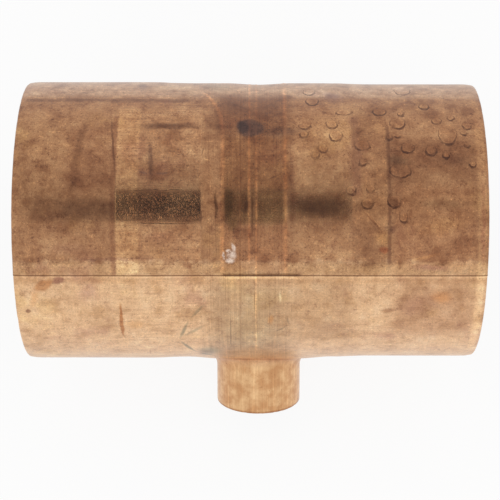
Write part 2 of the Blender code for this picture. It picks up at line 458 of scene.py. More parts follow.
relief = {
    "Die Line Height": dieLine["height"],   # all in millimetres
    "Die Line Width": dieLine["width"],
    "Half Step": dieLine["step"],   # how much lower the outlet's half lies
    "Wave Depth": 0.10,
    "Wave Length": 34.0,
    "Grain Depth": 0.02,
    "Grain Length": 3.0,
    "Rim Wear": 0.12,
    "Crotch Swell": 0.9,       # how far the wall stands out where the outlet was drawn from it
    "Swell Start": 22.0,
    "Swell End": 34.0,
    "Left Out Of Round": 0.3,  # across the camera's view
    "Right Out Of Round": -0.6,
    "Seed": 7.0,
}

reliefReach = {   # where each form comes in and where it is full or gone, in millimetres
    "ridgeEnd": 8.0,
    "onRun": (56.5, 55.5),        # from the run's axis
    "swellFoot": 0.5,             # out from the outlet's wall
    "swellLevel": (0.0, -20.0),   # along the outlet
    "stepSlope": 0.6,
    "rim": 1.5,
    "cup": (24.0, 44.0),          # from the outlet's axis, where the ends go out of round
    "wornSpots": (0.5, 0.75),     # levels of the wear's noise
    "wearScale": 0.35,
}


def newTree(name, kind, inputs, outputs, socketType="NodeSocketFloat"):
    tree = bpy.data.node_groups.new(name, kind)
    for label in inputs:
        tree.interface.new_socket(name=label, in_out="INPUT", socket_type=socketType)
    for label in outputs:
        tree.interface.new_socket(name=label, in_out="OUTPUT", socket_type=socketType)
    return tree


def placedNode(tree, kind, group, values):
    node = addNode(tree, kind, node_tree=group)
    for key, value in values.items():
        plug(tree, value, node.inputs[key])
    return node.outputs


def ridgeGroup():
    # One ridge round the run, as a height over the wall.
    labels = ["Along", "Arc", "Place", "Width", "Height", "From", "To", "Bend", "Bend From"]
    tree = newTree("ridgeLine", "GeometryNodeTree", labels, ["Rise"])
    given = tree.nodes.new("NodeGroupInput").outputs
    past = calc(tree, "MAXIMUM", minus(tree, given["Bend From"], given["Arc"]), 0.0)
    place = minus(tree, given["Place"], times(tree, past, past, given["Bend"]))
    line = ease(tree, off(tree, minus(tree, given["Along"], place)), given["Width"], 0.0)
    fade = reliefReach["ridgeEnd"]
    into = ease(tree, given["Arc"], given["From"], plus(tree, given["From"], fade))
    out = ease(tree, given["Arc"], given["To"], minus(tree, given["To"], fade))
    rise = times(tree, line, given["Height"], times(tree, into, out))
    addNode(tree, "NodeGroupOutput", {"Rise": rise})
    return tree


def reliefTree():
    # What forming and handling left on the outside, raised along the wall's normals.
    tree = newTree("formedRelief", "GeometryNodeTree", ["Geometry"], ["Geometry"], "NodeSocketGeometry")
    labels = list(relief) + [f"{name} {size}" for name in ridges for size in ("Place", "Width", "Height")]
    for label in labels:
        tree.interface.new_socket(name=label, in_out="INPUT", socket_type="NodeSocketFloat")
    tree.interface.new_socket(name="Material", in_out="INPUT", socket_type="NodeSocketMaterial")
    given = tree.nodes.new("NodeGroupInput").outputs

    position = tree.nodes.new("GeometryNodeInputPosition").outputs[0]
    spot = vector(tree, "MULTIPLY", position, (1 / mm, 1 / mm, 1 / mm))
    parts = addNode(tree, "ShaderNodeSeparateXYZ", {0: spot}).outputs
    turn = calc(tree, "ARCTAN2", times(tree, parts["Y"], -1.0), parts["Z"])
    arc = times(tree, turn, run["cupRadius"] / mm)
    group = ridgeGroup()
    eitherSide = off(tree, arc)   # the far side was formed in the same way
    total = 0.0
    for name, ridge in ridges.items():
        bend, bendFrom = ridge.get("bend", (0.0, 0.0))
        values = {"Along": parts["X"], "Arc": eitherSide, "Bend": bend, "Bend From": bendFrom}
        values["From"], values["To"] = ridge["arcs"]
        for size in ("Place", "Width", "Height"):
            values[size] = given[f"{name} {size}"]
        total = plus(tree, placedNode(tree, "GeometryNodeGroup", group, values)["Rise"], total)

    squares = {name: times(tree, parts[name], parts[name]) for name in ("X", "Y", "Z")}
    fromAxis = calc(tree, "SQRT", plus(tree, squares["Y"], squares["Z"]))
    onRun = ease(tree, fromAxis, *reliefReach["onRun"])
    fromOutlet = calc(tree, "SQRT", plus(tree, squares["X"], squares["Y"]))
    foot = outlet["radius"] / mm + reliefReach["swellFoot"]
    swell = times(tree, ease(tree, fromOutlet, given["Swell End"], given["Swell Start"]),
                  ease(tree, fromOutlet, foot, given["Swell Start"]))
    swell = times(tree, swell, ease(tree, parts["Z"], *reliefReach["swellLevel"]), given["Crotch Swell"])
    total = plus(tree, total, swell)
    fromLine = minus(tree, eitherSide, dieLine["arc"])
    flash = ease(tree, off(tree, fromLine), given["Die Line Width"], 0.0)
    total = plus(tree, total, times(tree, flash, onRun, given["Die Line Height"]))
    lower = times(tree, ease(tree, fromLine, 0.0, reliefReach["stepSlope"]), given["Half Step"])
    total = minus(tree, total, lower)

    seed = {"X": given["Seed"], "Y": given["Seed"], "Z": 0.0}
    moved = vector(tree, "ADD", spot, addNode(tree, "ShaderNodeCombineXYZ", seed).outputs[0])
    for name, detail in (("Wave", 1.0), ("Grain", 2.0)):
        wave = noise(tree, moved, calc(tree, "DIVIDE", 1.0, given[f"{name} Length"]), detail)
        total = minus(tree, total, times(tree, wave, given[f"{name} Depth"]))
    rims = 0.0
    for axis, end in (("X", -run["leftReach"]), ("X", run["rightReach"]), ("Z", -outlet["reach"])):
        inward = math.copysign(reliefReach["rim"], end)
        rim = ease(tree, parts[axis], end / mm - inward, end / mm)
        rims = calc(tree, "MAXIMUM", rim, rims)
    wear = ease(tree, noise(tree, moved, reliefReach["wearScale"], 3.0), *reliefReach["wornSpots"])
    total = minus(tree, total, times(tree, wear, rims, given["Rim Wear"]))

    skinLayer = addNode(tree, "GeometryNodeInputNamedAttribute", {"Name": "skin"}, data_type="FLOAT")
    total = times(tree, total, skinLayer.outputs[0])
    across = calc(tree, "SINE", minus(tree, turn, math.radians(90 - camera["outletTilt"])))
    across = times(tree, across, across)
    squeeze = 0.0
    start, end = reliefReach["cup"]
    for side, name in ((-1, "Left Out Of Round"), (1, "Right Out Of Round")):
        cup = times(tree, ease(tree, parts["X"], side * start, side * end), across)
        squeeze = plus(tree, times(tree, cup, given[name]), squeeze)
    squeeze = calc(tree, "DIVIDE", times(tree, squeeze, mm), fromAxis)
    radial = {axis: times(tree, parts[axis], squeeze) for axis in ("Y", "Z")}
    outward = addNode(tree, "ShaderNodeCombineXYZ", radial).outputs[0]
    normal = tree.nodes.new("GeometryNodeInputNormal").outputs[0]
    lift = addNode(tree, "ShaderNodeVectorMath", {0: normal}, operation="SCALE")
    plug(tree, times(tree, total, mm), lift.inputs["Scale"])
    shift = vector(tree, "ADD", lift.outputs[0], outward)
    raised = addNode(tree, "GeometryNodeSetPosition", {"Geometry": given["Geometry"], "Offset": shift})
    real = addNode(tree, "GeometryNodeRealizeInstances", {"Geometry": raised.outputs[0]})
    dressed = {"Geometry": real.outputs[0], "Material": given["Material"]}
    finished = addNode(tree, "GeometryNodeSetMaterial", dressed)
    addNode(tree, "NodeGroupOutput", {"Geometry": finished.outputs[0]})
    return tree


def buildWall(material):
    shape = wallShape()
    data = bpy.data.meshes.new("plainWall")
    shape.to_mesh(data)
    shape.free()
    data.shade_smooth()
    data.set_sharp_from_angle(angle=math.radians(facets["sharpFrom"]))
    plain = bpy.data.objects.new("plainWall", data)
    bpy.context.scene.collection.objects.link(plain)
    modifier = plain.modifiers.new("formedRelief", "NODES")
    modifier.node_group = reliefTree()
    values = dict(relief)
    for name, ridge in ridges.items():
        values.update({f"{name} Place": ridge["along"], f"{name} Width": ridge["width"]})
        values[f"{name} Height"] = ridge["height"]
    values["Material"] = material
    for socket in modifier.node_group.interface.items_tree:
        if socket.in_out == "INPUT" and socket.name in values:
            modifier[socket.identifier] = values[socket.name]
    graph = bpy.context.evaluated_depsgraph_get()
    made = bpy.data.meshes.new_from_object(plain.evaluated_get(graph))
    made.name = "teeWall"
    bpy.data.objects.remove(plain)
    made.transform(toWorld)
    wall = bpy.data.objects.new("teeWall", made)
    bpy.context.scene.collection.objects.link(wall)
    print(f"wall made, {len(made.polygons)} faces")
    return wall


# Paint, laid on the wall's sheet of along and arc. Zones and marks multiply the colour by "tint".
# The back half's darker tone is partly its patina and partly painted shade, standing in for the duller
# light that it reflects; the step at the die line is partly painted too.
ground = {   # colours, and the levels of the noise between which a shade comes in
    "back": (0.43, 0.208, 0.094),       # the half opposite the outlet
    "backDark": ((0.30, 0.125, 0.052), 0.52, 0.34),
    "backLight": ((0.56, 0.305, 0.145), 0.50, 0.70),
    "front": (0.82, 0.52, 0.29),        # the outlet's half
    "frontDark": ((0.64, 0.37, 0.185), 0.52, 0.32),
    "frontLight": ((0.90, 0.62, 0.375), 0.50, 0.72),
    "darkCloud": ((0.80, 0.70, 0.74), 0.56, 0.72),
    "lightCloud": ((1.06, 1.08, 0.98), 0.44, 0.30),
    "frontFrom": 263,                   # the row where the lighter half starts
    "ragged": 6.0,                      # how far that border strays with the blotches
    "borderSoft": 1.6,
    "rough": 0.4,
}

surface = {
    "wander": 2.4,          # how far the edges of zones and stains stray, in millimetres
    "smallWander": 0.7,     # those of crisp zones and strokes
    "dropWander": 1.9,      # drops are the least even
    "grainHeight": 0.012,
    "grainShades": (0.58, 1.42),
    "brushHeight": 0.008,
    "pitDepth": 0.03,
    "frontCalm": 0.68,      # how strong all texture is on the outlet's half
    "calmOver": (-3.0, 2.0),
    "speckledRough": 0.35,  # how much the flecks change the roughness
    "leastRough": 0.08,
    "coat": 0.6,
    "coatRough": 0.35,
}

# Every noise of the paint: its scale per millimetre, or how much it is squeezed along each axis, its
# detail and its roughness.
noiseLooks = {
    "blotch": (1 / 9.0, 8.0, 0.66),
    "cloud": (1 / 24.0, 5.0, 0.6),
    "patch": (1 / 3.2, 5.0, 0.65),
    "fleck": (1 / 0.8, 4.0, 0.7),
    "scratch": ((2.6, 1.1, 1.1), 3.0, 0.7),
    "crack": (1 / 5.2, 4.0, 0.6),
    "grain": (1 / 0.42, 2.0, 0.6),
    "alongRun": ((0.07, 1.5, 1.5), 4.0, 0.65),
    "aroundRun": ((2.2, 0.035, 0.035), 4.0, 0.7),
    "outletBlotch": (0.22, 6.0, 0.62),
    "alongOutlet": ((0.75, 0.75, 0.03), 4.0, 0.65),
    "film": ((0.05, 0.2, 0.2), 6.0, 0.68),
    "boreStain": (0.16, 5.0, 0.65),
    "sawn": ((0.1, 2.4, 0.5), 3.0, 0.6),
    "loose": (1 / 5.0, 3.0, 0.55),    # this and the next lead edges astray
    "close": (1 / 2.2, 3.0, 0.55),
}

polish = {                  # roughness from this column on
    "leftCup": (0, 0.40),
    "leftBright": (115.5, 0.17),
    "leftOfOutlet": (201, 0.48),
    "drawnMiddle": (221, 0.28),
    "rightBright": (287, 0.30),
    "rightStop": (352, 0.58),
    "rightCup": (388, 0.46),
}
polishEdge = 0.3            # half the width of a step between two of them
leastArcSoft = 0.8          # the crisp zones' soft edge on the way round the run
dull = {"rows": (100, 124), "fromLine": (-9.0, 1.0), "rough": 0.45}  # towards the top and the die line

# Zones of the wall: columns, rows, soft edge and tint. Forming went all round, so they are on the far
# side too, apart from "front" ones, which are painted reflection of the tent's dark gap and stay on the
# camera's side.
zones = {
    # painted highlight: the grazing reflection along the top edge, whitened
    "topEdgeHighlight": ((4, 496), (60, 97), 2.5, (1.26, 1.52, 1.95)),
    # painted reflection of a dark edge, as a thin dark line
    "topLeftReflection": ((26, 190), (99, 102), 0.8, (0.66, 0.60, 0.60)),
    "rimLeft": ((4, 66), (120, 215), 5.0, (1.02, 1.04, 1.03)),
    "leftBrown": ((68, 111), (126, 192), 3.0, (0.86, 0.80, 0.78)),
    "cuffLeft": ((115.5, 138), (109, 275), 0.5, (1.27, 1.36, 1.33)),
    "cuffInner": ((138, 196), (112, 190), 2.5, (1.0, 1.02, 1.04)),
    "cuffShade": ((110, 115), (116, 275), 0.5, (0.80, 0.72, 0.70)),
    # painted reflection of the tent's dark gap, here and in the next two
    "gapReflectionPolished": ((116, 200), (190.5, 222), 0.7, (0.64, 0.57, 0.53), "front"),
    "gapReflectionLeft": ((30, 117), (198, 221), 2.0, (0.68, 0.62, 0.60), "front"),
    "gapReflectionLeftHeart": ((62, 117), (202, 219), 2.5, (0.70, 0.66, 0.64), "front"),
    "drawnTop": ((213, 290), (94, 137), 3.5, (0.58, 0.48, 0.44)),
    "drawnUpper": ((221, 290), (136, 190), 1.5, (0.68, 0.58, 0.50)),
    # painted reflection of the tent's dark gap
    "gapReflectionDrawn": ((222, 287), (189, 224), 1.2, (0.64, 0.60, 0.52), "front"),
    "drawnLow": ((222, 288), (224, 272), 1.5, (0.84, 0.76, 0.73)),
    # painted reflection of the tent's dark gap
    "gapReflectionRight": ((288, 350), (192, 219), 2.0, (0.74, 0.68, 0.64), "front"),
    "shadeRight": ((351, 361), (116, 196), 1.2, (0.84, 0.79, 0.84)),
    "cuffRight": ((361, 387.5), (108, 275), 0.6, (0.99, 0.98, 0.95)),
    "cuffEdge": ((387.8, 391.4), (126, 264), 0.5, (0.66, 0.60, 0.60)),
    "heated": ((394, 478), (140, 178), 4.0, (0.74, 0.66, 0.62)),
    "heatedLow": ((394, 476), (186, 268), 2.0, (1.04, 1.0, 0.98)),
    "stripeRight": ((479, 487), (100, 350), 0.6, (1.22, 1.28, 1.26)),
    "yellowStrip": ((4, 496), (262, 275.6), 1.2, (0.77, 0.70, 0.62)),
    "rustLine": ((4, 496), (277, 284), 1.4, (0.90, 0.84, 0.78)),
    "frontMiddle": ((209, 292), (281, 356), 5.0, (0.74, 0.72, 0.70)),
    "frontRight": ((296, 352), (280, 340), 3.0, (0.82, 0.78, 0.74)),
    "frontHeated": ((392, 478), (278, 336), 6.0, (0.80, 0.72, 0.69)),
}

# Where the dark reflection shows on bright metal, flecks that are rubbed matt catch the light; their tint
# also paints that light into their colour, a painted highlight.
polishedPatch = {
    "columns": (117, 199),
    "rows": (193, 221),
    "at": (160, 206),
    "soft": (0.8, 1.0),
    "scratches": (0.54, 0.74),
    "tint": (2.1, 2.05, 2.0),
    "rough": 0.6,
}

# Stains and smears, and a few painted reflections of the tent's dark gap and painted shades: where, half
# size, lean in degrees, how much of it is soft edge, tint.
stains = {
    "streakTop": ((170, 126), (42, 4.4), 0, 0.7, (0.48, 0.42, 0.42)),
    "streakTopRight": ((222, 126.5), (22, 3.4), 0, 0.9, (0.70, 0.64, 0.64)),
    "oilBlotch": ((250, 127), (16, 10.5), 6, 0.3, (0.48, 0.52, 0.74)),
    "oilHeart": ((243, 126), (8, 8), 0, 0.5, (0.56, 0.60, 0.74)),
    "oilTail": ((281, 131), (32, 6.5), 0, 0.8, (0.62, 0.60, 0.66)),
    "smear": ((79, 152), (5.5, 46), 9, 0.8, (0.76, 0.72, 0.70)),
    "smearFoot": ((74, 184), (5, 16), 16, 0.8, (0.76, 0.72, 0.70)),
    "crescent": ((64, 145), (7, 2.2), 8, 0.6, (1.34, 1.42, 1.42)),
    # painted reflection: the dark end of the tent's gap reflection
    "gapReflectionEnd": ((200.5, 213), (1.3, 14), 0, 0.6, (0.55, 0.50, 0.50)),
    "seamShade": ((216, 205), (2.0, 20), 0, 0.7, (0.50, 0.46, 0.44)),
    "drawnShade": ((229, 205), (6, 22), 0, 0.6, (0.66, 0.68, 0.58)),
    "drawnShadeFoot": ((233, 226), (8, 9), 0, 0.8, (0.64, 0.64, 0.56)),
    "pairShade": ((247, 207), (3, 18), 0, 0.7, (0.66, 0.62, 0.60)),
    # painted reflection of the tent's dark gap, here and in the next line
    "gapReflectionDark": ((318, 207), (44, 15), 2, 0.8, (0.46, 0.41, 0.38)),
    "gapReflectionTail": ((362, 206), (16, 8), 10, 0.9, (0.74, 0.70, 0.68)),
    "cuffEdgeShade": ((397, 185), (10, 62), 0, 0.95, (0.80, 0.75, 0.75)),
    "ridgeShade": ((292, 190), (4.5, 75), 0, 0.9, (0.78, 0.72, 0.72)),
    "purpleSmear": ((120, 259), (72, 3.2), 0, 0.9, (0.84, 0.80, 0.86)),
    "purpleLeft": ((70, 250), (38, 9), 3, 0.9, (0.90, 0.86, 0.90)),
    "darkSpotLeft": ((92, 260.5), (4, 2.4), -20, 0.7, (0.66, 0.60, 0.66)),
    "darkSpotMiddle": ((187, 265), (6.5, 4.6), 30, 0.6, (0.74, 0.64, 0.62)),
    "darkSpotFar": ((31.5, 238), (3.2, 1.8), -30, 0.6, (0.62, 0.56, 0.58)),
    "redPatch": ((160, 237), (26, 7), 2, 0.9, (0.90, 0.84, 0.86)),
    "whiteTop": ((318, 94), (15, 7), -6, 0.7, (1.26, 1.42, 1.56)),
    "whiteTopRight": ((403, 88), (12, 3.6), 14, 0.6, (1.30, 1.48, 1.66)),
    "purpleTop": ((333, 98), (12, 8), -20, 0.8, (0.74, 0.70, 0.84)),
    "greyTopLeft": ((220, 88), (22, 5), 5, 0.8, (0.78, 0.80, 0.82)),
    "lightTop": ((170, 88), (34, 3.4), 3, 0.8, (1.15, 1.24, 1.26)),
    "darkTopKnot": ((143, 88), (7, 4), 0, 0.7, (0.72, 0.68, 0.74)),
    "lightDropsField": ((330, 132), (40, 22), 10, 0.9, (1.14, 1.20, 1.18)),
    "lightCorner": ((384, 128), (20, 14), 0, 0.8, (1.18, 1.22, 1.20)),
    "heatCloud": ((398, 160), (16, 9), 6, 0.8, (0.66, 0.66, 0.66)),
    "heatCloudRight": ((455, 160), (24, 9), 0, 0.8, (0.76, 0.72, 0.72)),
    "darkUnderCloud": ((445, 204), (36, 7), 0, 0.8, (0.70, 0.66, 0.64)),
    "cuffSpot": ((393, 230), (4.6, 5.4), 0, 0.6, (0.62, 0.54, 0.56)),
    "cuffSpotTop": ((395, 203), (5.2, 7.0), -20, 0.6, (0.66, 0.60, 0.60)),
    "rustSpots": ((384, 250), (6, 4.6), 20, 0.6, (0.94, 0.66, 0.56)),
    "yellowScrape": ((383, 238), (9, 13), -38, 0.8, (1.22, 1.26, 1.12)),
    "goldPatch": ((443, 226), (34, 13), -10, 0.9, (1.14, 1.16, 1.06)),
    "goldStroke": ((424, 258), (24, 2.2), -14, 0.8, (1.24, 1.26, 1.16)),
    "purpleLow": ((432, 268), (26, 5), 4, 0.8, (0.78, 0.68, 0.76)),
    "purpleFarRight": ((484, 225), (4, 60), 0, 0.8, (0.86, 0.76, 0.80)),
    "stainLeft": ((43, 285), (13, 6.5), -30, 0.5, (0.74, 0.57, 0.44)),
    "stainLeftPurple": ((58, 281), (9, 5), -10, 0.5, (0.60, 0.48, 0.52)),
    "stainRun": ((34, 297), (6.5, 13), 18, 0.8, (0.92, 0.80, 0.70)),
    "stainFoot": ((28, 311), (4, 2.4), 0, 0.6, (0.52, 0.42, 0.40)),
    "brownDash": ((121.5, 319), (2.3, 19.5), -2, 0.4, (0.68, 0.47, 0.32)),
    "orangeSpot": ((271, 320), (4.5, 7), 0, 0.8, (1.06, 0.86, 0.62)),
    "orangeLow": ((135, 324), (14, 6), 0, 0.9, (0.96, 0.88, 0.76)),
    "oliveTint": ((250, 322), (40, 34), 0, 0.9, (0.92, 0.94, 0.89)),
    "purpleFront": ((418, 305), (30, 15), -14, 0.9, (0.82, 0.74, 0.76)),
    "orangeFront": ((442, 298), (16, 8), 10, 0.8, (1.02, 0.86, 0.68)),
    "darkFront": ((388, 311), (9, 3.4), -8, 0.7, (0.68, 0.58, 0.52)),
    "darkLowRight": ((330, 328), (22, 9), 12, 0.9, (0.86, 0.82, 0.82)),
    "greyEdgeLeft": ((209, 350), (16, 6), 20, 0.8, (0.66, 0.74, 0.74)),
}

# Fine lines: from, to, width in pixels, tint.
strokes = {
    "stopLine": ((150, 134), (151.5, 190), 5.2, (0.54, 0.50, 0.53)),
    "moustacheLeft": ((137, 171.5), (149, 174), 2.8, (0.74, 0.76, 0.92)),
    "moustacheRight": ((153, 174), (172, 172.5), 2.4, (0.78, 0.80, 0.96)),
    "slantEdge": ((111, 110), (116, 188), 2.2, (0.56, 0.50, 0.50)),
    "slantEdgeLow": ((116, 188), (115.6, 226), 1.3, (1.55, 1.6, 1.5)),
    # The next two are painted reflection: the top and foot edges of the tent's dark gap reflection.
    "gapReflectionTopLine": ((118, 190.5), (198, 190), 1.2, (0.66, 0.60, 0.58)),
    "gapReflectionFootLine": ((118, 222), (196, 223.5), 1.2, (0.80, 0.74, 0.70)),
    "fineOne": ((110, 113), (210, 113.5), 0.8, (0.80, 0.72, 0.70)),
    "fineTwo": ((112, 139.5), (133, 140), 0.8, (0.82, 0.74, 0.72)),
    "fineThree": ((118, 149), (136, 149.5), 0.8, (0.86, 0.80, 0.78)),
    "fineFour": ((116, 158), (146, 158.5), 0.8, (1.14, 1.16, 1.16)),
    "shortVertical": ((204.5, 144), (201.5, 156), 1.0, (0.62, 0.56, 0.56)),
    "brightNick": ((203, 158), (210, 160), 1.8, (1.5, 1.6, 1.5)),
    "scratchPair": ((360, 207), (388, 239), 1.8, (0.74, 0.64, 0.60)),
    "scratchPairLight": ((361.5, 206), (389, 237.5), 1.2, (1.30, 1.34, 1.30)),
    "scratchPairLow": ((366, 210), (380, 229), 1.0, (0.72, 0.64, 0.60)),
    "curveDown": ((397, 238), (402, 252), 1.4, (0.76, 0.68, 0.70)),
    "commaOne": ((266, 117), (282, 112.5), 1.6, (0.68, 0.64, 0.66)),
    "commaTwo": ((266, 180), (282, 173.5), 1.6, (0.70, 0.66, 0.66)),
    "commaThree": ((273, 161.5), (283, 158), 1.4, (0.74, 0.70, 0.70)),
    "commaFour": ((274, 101), (282, 98), 1.6, (0.74, 0.70, 0.74)),
    "nickRight": ((351, 188), (356, 193), 1.6, (0.56, 0.48, 0.48)),
    "flakeWhite": ((280, 290), (280.5, 305), 2.2, (1.30, 1.50, 1.62)),
    "lightLineLow": ((256, 318), (257.5, 351), 1.8, (1.20, 1.28, 1.28)),
    "darkLineLow": ((230.5, 306), (231, 352), 1.0, (0.62, 0.60, 0.60)),
    "darkLineMiddle": ((255, 279), (254.5, 316), 1.0, (0.64, 0.56, 0.50)),
    "greyCurveOne": ((206, 303), (189, 320), 3.2, (0.64, 0.69, 0.70)),
    "greyCurveTwo": ((189, 320), (179, 340), 3.6, (0.54, 0.60, 0.62)),
    "greyCurveThree": ((179, 340), (198, 353), 3.6, (0.50, 0.56, 0.60)),
    "greyCurveFour": ((198, 353), (216, 356), 3.8, (0.50, 0.56, 0.58)),
    "greyWedge": ((207, 324), (181, 338), 4.0, (0.70, 0.73, 0.74)),
    "thinLow": ((136, 343), (176, 342), 0.9, (0.76, 0.66, 0.58)),
    "thinLowRight": ((366, 327), (398, 329), 0.9, (0.82, 0.74, 0.70)),
    "hookFirst": ((287, 316), (288.5, 326), 1.6, (0.70, 0.72, 0.74)),
    "hookSecond": ((288.5, 326), (274, 333), 2.4, (0.72, 0.74, 0.74)),
    "squiggle": ((58, 282), (66, 288), 0.8, (1.30, 1.36, 1.40)),
    "nickLeft": ((150, 348), (150.5, 354), 1.0, (0.70, 0.54, 0.44)),
    "whiteRunTop": ((240, 228), (240, 240), 1.6, (1.30, 1.48, 1.56)),
}

# A smear of dried white flux: strokes in the same order, that run into each other.
residue = [
    ((222, 250), (225, 261), 2.8), ((224, 260.5), (236, 261.5), 4.8), ((226, 257.5), (237, 252), 9.0),
    ((231, 242), (235, 254), 3.8), ((225, 252), (231, 250), 3.4),
]
residueLook = {
    "colour": (0.84, 0.66, 0.54),
    "share": 0.85,
    "height": 0.05,
    "broken": (0.34, 0.46, 0.4, 1.0),
}
strokeLook = {
    "height": 0.02,
    "soft": 0.75,
    "longer": 0.52,   # half the patch, per length and width of the line
    "wider": 0.75,
}

# Dried drops: where and half size. A thin dark outline, heavier at the foot with painted shade, and a
# painted highlight line just inside it.
drops = [
    ((309, 91), (6, 3.6)), ((312, 101), (6.5, 4)), ((332, 124), (5.5, 4)), ((336, 135), (6.8, 5.4)),
    ((304, 134), (4, 3)), ((305, 125.5), (6, 3)), ((379, 111), (6.6, 3.6)), ((401, 113), (3, 2.4)),
    ((397.5, 122.5), (7.5, 6)), ((389, 137), (3, 2.6)), ((397.5, 136), (2.4, 1.1)),
    ((362, 145), (7.5, 5)), ((363, 162), (4, 3)), ((408, 147), (6.6, 5.2)), ((431, 150), (5.6, 5)),
    ((447.5, 134), (9.2, 10.5)), ((467, 125), (4.6, 4)), ((450.6, 117), (3.4, 2.8)),
    ((436.5, 120), (5, 3.6)), ((400.5, 170), (10.8, 7.4)), ((394.5, 201), (6.8, 6.2)),
    ((351, 190), (5, 4.6)), ((367, 203), (6.2, 5.4)), ((323, 148), (5, 4)), ((424, 105.6), (5.4, 3)),
    ((402, 90), (8, 3.6)), ((344, 112), (8, 2.4)), ((473, 164), (3.6, 3.2)), ((446, 155), (3, 2.6)),
    ((467, 145), (3, 1.8)), ((315.5, 155), (4, 3)), ((464, 133), (3, 1.6)), ((340, 201), (4, 3.2)),
    ((404, 217), (4.4, 6)), ((371, 189), (4, 3.2)),
]

# Drops on the sides that the photograph doesn't show: along, arc and half size in millimetres.
backDrops = [
    ((-62, -38), (2.6, 2.0)), ((-48, -52), (2.0, 2.2)), ((-20, -34), (3.2, 2.4)),
    ((12, -58), (2.2, 1.8)), ((30, -30), (2.8, 2.6)), ((44, -66), (3.4, 2.6)),
    ((61, -44), (2.2, 1.6)), ((70, -88), (2.6, 3.2)), ((-74, -84), (3.0, 2.4)),
    ((-34, -104), (2.4, 2.0)), ((52, -118), (3.0, 2.2)), ((-58, -128), (2.2, 2.6)),
]

dropLook = {
    # The outline's extra weight at the foot is painted shade, and the light line inside it a painted
    # highlight.
    "shadeBelow": 0.27,       # how much thicker the outline is at a drop's foot
    "outline": (0.38, 0.0),     # millimetres over which the outline comes in
    "outlineTint": (0.34, 0.27, 0.27),
    "outlineRough": 0.5,
    "outlineHeight": 0.004,
    "dropHighlightIn": 0.7,         # how far inside the outline the light line lies
    "dropHighlight": (0.4, 0.05),
    "dropHighlightTint": (1.16, 1.18, 1.16),
    "dropHighlightHeight": 0.003,
    "insideTint": (0.97, 0.94, 0.92),
    "broken": (0.38, 0.56, 0.3, 1.0),
}
farOff = 50.0   # a distance that no point has from the nearest drop

# What the eye takes for texture: its noise, the levels between which it comes in, and its tint.
texture = {
    "darkPatch": ("patch", 0.50, 0.34, (0.86, 0.81, 0.80)),
    "lightPatch": ("patch", 0.52, 0.70, (1.12, 1.14, 1.13)),
    "pit": ("fleck", 0.46, 0.30, (0.62, 0.56, 0.54)),
    "bareFleck": ("fleck", 0.58, 0.70, (1.42, 1.46, 1.42)),
    "lightAlong": ("alongRun", 0.52, 0.66, (1.16, 1.18, 1.18)),
    "darkAlong": ("alongRun", 0.48, 0.34, (0.80, 0.75, 0.74)),
    "lightAround": ("aroundRun", 0.53, 0.68, (1.18, 1.18, 1.16)),
    "darkAround": ("aroundRun", 0.47, 0.32, (0.76, 0.70, 0.68)),
}

# Lines in the oxide: the level that they follow, half width, tint, and the patches that hold them.
cracks = {
    "dark": (0.50, 0.014, (0.66, 0.58, 0.56), (0.52, 0.42)),
    "worn": (0.57, 0.016, (1.26, 1.28, 1.26), (0.48, 0.58)),
}
crackCore = 0.002

# Where handling scratched the wall along the run, and drawing left fine lines around it: columns, a
# row, soft edge, how much stronger it is there, and how strong it is everywhere.
brushing = {
    "Along": ((116, 200), 160, 1.0, 0.35, 0.35),
    "Around": ((203, 289), 215, 3.0, 0.75, 0.25),
}

ridgeLook = {"spread": 1.1, "core": 0.1, "endSoft": 2.0, "rubbed": (0.36, 0.60, 0.35, 1.0), "rough": 0.5}

dieLineLook = {
    "crack": (0.42, 0.05),      # half width and core, on the patina's side
    "crackPlace": -0.1,
    "crackTint": (0.50, 0.42, 0.36),
    "crackRough": 0.6,
    "edge": (0.35, 0.9, 0.25),  # from, to and soft edge, past the line
    "edgeTint": (1.16, 1.18, 1.18),
    "thickSoft": 1.2,
    "shade": (-0.9, 0.15, 0.3),
    "shadeTint": (0.50, 0.42, 0.34),
    "flash": (0.4, 1.4, 0.3),
    "flashTint": (1.28, 1.34, 1.36),
    "flashHeight": 0.05,
}

outletLook = {
    "dark": (0.70, 0.38, 0.17),
    "light": (0.93, 0.62, 0.33),
    "blotches": (0.35, 0.68),
    "foot": 0.955,              # the crotch's foot, as a share of the run's outside radius
    "above": (1.0, 5.5),        # how far above it the outlet's own colour comes in
    "within": (22.0, 18.5),     # and how far from the outlet's axis
    "rough": 0.42,
    # painted shade where the outlet meets the run, here and in the next two
    "crotch": (17.0, 20.5, 1.6),
    "crotchLevel": (40.0, 46.0),
    "crotchTint": (0.80, 0.68, 0.58),
    "lines": [((0.50, 0.66), (1.20, 1.26, 1.30), 0.006), ((0.46, 0.28), (0.88, 0.82, 0.78), -0.006)],
    "specks": (0.60, 0.74),
    "speckTint": (0.60, 0.46, 0.38),
    "edge": (-1.5, -0.7),       # from the outlet's end
    "edgeTint": (0.66, 0.54, 0.46),
}

insideLook = {
    "dark": (0.29, 0.132, 0.07),
    "light": (0.48, 0.26, 0.14),
    "film": (0.36, 0.66),
    "stain": (0.30, 0.20, 0.13),
    "stains": (0.60, 0.70),
    "rough": 0.46,
    "stopTint": (0.52, 0.46, 0.44),
    "pastStop": 0.3,
    "stopSoft": 0.4,
    "face": (0.14, 0.06),       # from each end, where the cut face's bare metal starts
    "faceDark": (0.60, 0.33, 0.19),
    "faceLight": (0.74, 0.44, 0.26),
    "sawLines": (0.35, 0.65),
    "faceRough": 0.34,
    "mouth": (84.0, 88.0),
    "mouthTint": (1.16, 1.18, 1.18),
}


